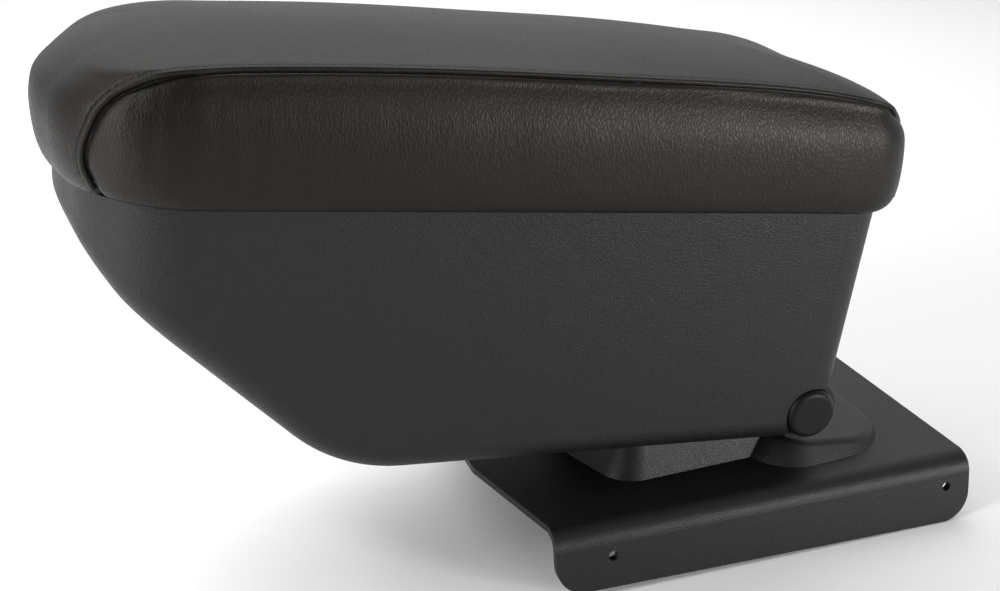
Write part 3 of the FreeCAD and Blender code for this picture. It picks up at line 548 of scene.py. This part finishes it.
def stitch_tree():
    """Stitches along a curve: one small rounded bar for each, laid along the line."""
    tree = bpy.data.node_groups.new("stitches", "GeometryNodeTree")
    for label, kind, way in (("Line", "NodeSocketGeometry", "INPUT"),
                             ("Pitch", "NodeSocketFloat", "INPUT"),
                             ("Thread", "NodeSocketFloat", "INPUT"),
                             ("Finish", "NodeSocketMaterial", "INPUT"),
                             ("Stitches", "NodeSocketGeometry", "OUTPUT")):
        tree.interface.new_socket(label, in_out=way, socket_type=kind)
    given = tree.nodes.new("NodeGroupInput")
    result = tree.nodes.new("NodeGroupOutput")
    points = tree.nodes.new("GeometryNodeCurveToPoints")
    points.mode = "LENGTH"
    bar = tree.nodes.new("GeometryNodeMeshUVSphere")
    bar.inputs["Segments"].default_value = 6
    bar.inputs["Rings"].default_value = 5
    bar.inputs["Radius"].default_value = 1.0
    size = tree.nodes.new("ShaderNodeCombineXYZ")
    length = tree.nodes.new("ShaderNodeMath")
    length.operation = "MULTIPLY"
    length.inputs[1].default_value = STITCH_SHARE
    place_bars = tree.nodes.new("GeometryNodeInstanceOnPoints")
    realize = tree.nodes.new("GeometryNodeRealizeInstances")
    paint = tree.nodes.new("GeometryNodeSetMaterial")
    for a, b in ((given.outputs["Line"], points.inputs["Curve"]),
                 (given.outputs["Pitch"], points.inputs["Length"]),
                 (given.outputs["Pitch"], length.inputs[0]),
                 (given.outputs["Thread"], size.inputs[0]),
                 (given.outputs["Thread"], size.inputs[1]),
                 (length.outputs[0], size.inputs[2]),
                 (points.outputs["Points"], place_bars.inputs["Points"]),
                 (points.outputs["Rotation"], place_bars.inputs["Rotation"]),
                 (bar.outputs["Mesh"], place_bars.inputs["Instance"]),
                 (size.outputs[0], place_bars.inputs["Scale"]),
                 (place_bars.outputs[0], realize.inputs[0]),
                 (realize.outputs[0], paint.inputs["Geometry"]),
                 (given.outputs["Finish"], paint.inputs["Material"]),
                 (paint.outputs[0], result.inputs[0])):
        tree.links.new(a, b)
    return tree


stitches_tree = stitch_tree()
for hand, line in seams.items():
    count = int(sum((b[0] - a[0]).length for a, b in zip(line, line[1:])) / BAND_STEP)
    spots = respaced([p for p, n in line], count, False)
    band = bmesh.new()
    rows, stitch_path = [], []
    near = 0
    for i, spot in enumerate(spots):
        near = min(range(max(0, near - 4), min(len(line), near + 30)),
                   key=lambda j: (line[j][0] - spot).length)
        window = [line[j][1] for j in range(max(0, near - 6), min(len(line), near + 7))]
        up = sum(window, Vector()).normalized()
        run = (spots[min(i + 4, count - 1)] - spots[max(i - 4, 0)]).normalized()
        across = up.cross(run).normalized()
        if across.y * spot.y > 0:
            across = -across
        row = []
        for u, v in BAND:
            on_skin, out, *_ = skin.find_nearest(spot + across * u)
            row.append(band.verts.new(on_skin + out * v))
        rows.append(row)
        on_skin, out, *_ = skin.find_nearest(spot + across * STITCH_IN)
        stitch_path.append(on_skin - out * STITCH_SUNK)
    for a, b in zip(rows, rows[1:]):
        for j in range(len(BAND) - 1):
            band.faces.new((a[j], b[j], b[j + 1], a[j + 1]))
    bmesh.ops.recalc_face_normals(band, faces=band.faces)
    band.faces.ensure_lookup_table()
    middle_face = band.faces[len(band.faces) // 2]
    if middle_face.normal.z < 0:
        bmesh.ops.reverse_faces(band, faces=band.faces)
    band.transform(TILT @ Matrix.Scale(0.001, 4))
    mesh = bpy.data.meshes.new("seam_band_" + hand)
    band.to_mesh(mesh)
    band.free()
    mesh.shade_smooth()
    mesh.materials.append(leather)
    roll = put_in("seam_band_" + hand, mesh)
    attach(roll, "lid")

    path = bpy.data.curves.new("stitch_line_" + hand, "CURVE")
    path.dimensions = "3D"
    spline = path.splines.new("POLY")
    spline.points.add(len(stitch_path) - 1)
    for point, spot in zip(spline.points, stitch_path):
        point.co = (*(TILT @ (spot / 1000)), 1)
    guide = put_in("stitch_line_" + hand, path)
    sew = guide.modifiers.new("sew", "NODES")
    sew.node_group = stitches_tree
    for item in stitches_tree.interface.items_tree:
        if item.in_out == "INPUT" and item.name in ("Pitch", "Thread", "Finish"):
            sew[item.identifier] = {"Pitch": PITCH, "Thread": THREAD, "Finish": thread}[item.name]
    seen_now = bpy.context.evaluated_depsgraph_get()
    sewn = bpy.data.meshes.new_from_object(guide.evaluated_get(seen_now))
    sewn.name = "stitching_" + hand
    sewn.shade_smooth()
    bpy.data.objects.remove(guide)
    row = put_in("stitching_" + hand, sewn)
    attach(row, "lid")

# Studio
# A plain pale floor under the flanges, soft light from above and behind, and the camera of the photograph.
# The backdrop is bright behind the part and dim in front of it, so that its near side stays dark.
FLOOR_Z, FLOOR_HALF = -0.0272, 8
floor_mesh = bpy.data.meshes.new("floor")
floor_mesh.from_pydata([(x * FLOOR_HALF, y * FLOOR_HALF, FLOOR_Z)
                        for x, y in ((-1, -1), (1, -1), (1, 1), (-1, 1))], [], [(0, 1, 2, 3)])
floor = put_in("floor", floor_mesh)
paper, place, feed = new_finish("pale_paper", roughness=0.9)
feed("Base Color", place.cloudy(2.0, 2.0).between((0.90, 0.90, 0.90), (0.92, 0.92, 0.92)))
floor_mesh.materials.append(paper)

world = bpy.data.worlds.new("studio")
bpy.context.scene.world = world
world.use_nodes = True
backdrop = world.node_tree.nodes["Background"]
way = world.node_tree.nodes.new("ShaderNodeTexCoord")
sky = Tone(world.node_tree, way.outputs["Generated"])
front = sky.node("ShaderNodeVectorMath", {"operation": "DOT_PRODUCT"}, {
    0: sky, 1: (-0.34, -0.94, 0)}, 1)
shade = (front * 0.5 + 0.5).ramp((0.40, 1.0), (0.80, 0.08))
world.node_tree.links.new(shade.socket, backdrop.inputs["Color"])
backdrop.inputs["Strength"].default_value = 0.74


def soft_light(name, size, power, at, aim, spread=180):
    """A rectangular lamp of that size in metres and power in watts, turned to its aim."""
    data = bpy.data.lights.new(name, "AREA")
    data.shape = "RECTANGLE"
    data.size, data.size_y = size
    data.energy = power
    data.spread = math.radians(spread)
    lamp = put_in(name, data)
    lamp.location = at
    lamp.rotation_mode = "QUATERNION"
    lamp.rotation_quaternion = (Vector(aim) - Vector(at)).to_track_quat("-Z", "Y")


soft_light("back_wash", (2.0, 1.4), 12.0, (0.0, 0.95, 1.25), (0.0, 0.951, 0.0), 140)
soft_light("right_strip", (0.35, 0.2), 9.5, (0.84, -1.05, 0.22), (0.0, -0.05, 0.13))
soft_light("left_strip", (0.3, 0.9), 9.0, (-1.1, -0.35, 0.5), (-0.1, 0.0, 0.1))
soft_light("left_floor", (0.5, 0.5), 3.6, (-0.8, -0.15, 0.8), (-0.8, -0.151, 0.0), 92)
soft_light("front_strip", (0.6, 0.15), 2.0, (0.18, -1.2, 0.6), (-0.1, 0.0, 0.13))

camera = put_in("camera", bpy.data.cameras.new("camera"))
bpy.context.scene.camera = camera
camera.data.sensor_width = 36.0
camera.data.lens = 46.55
camera.location = (-0.1726, -0.4821, 0.2930)
camera.rotation_mode = "QUATERNION"
camera.rotation_quaternion = Vector((0.306, 0.869, -0.3887)).to_track_quat("-Z", "Y")
bpy.context.scene.view_settings.view_transform = "Standard"
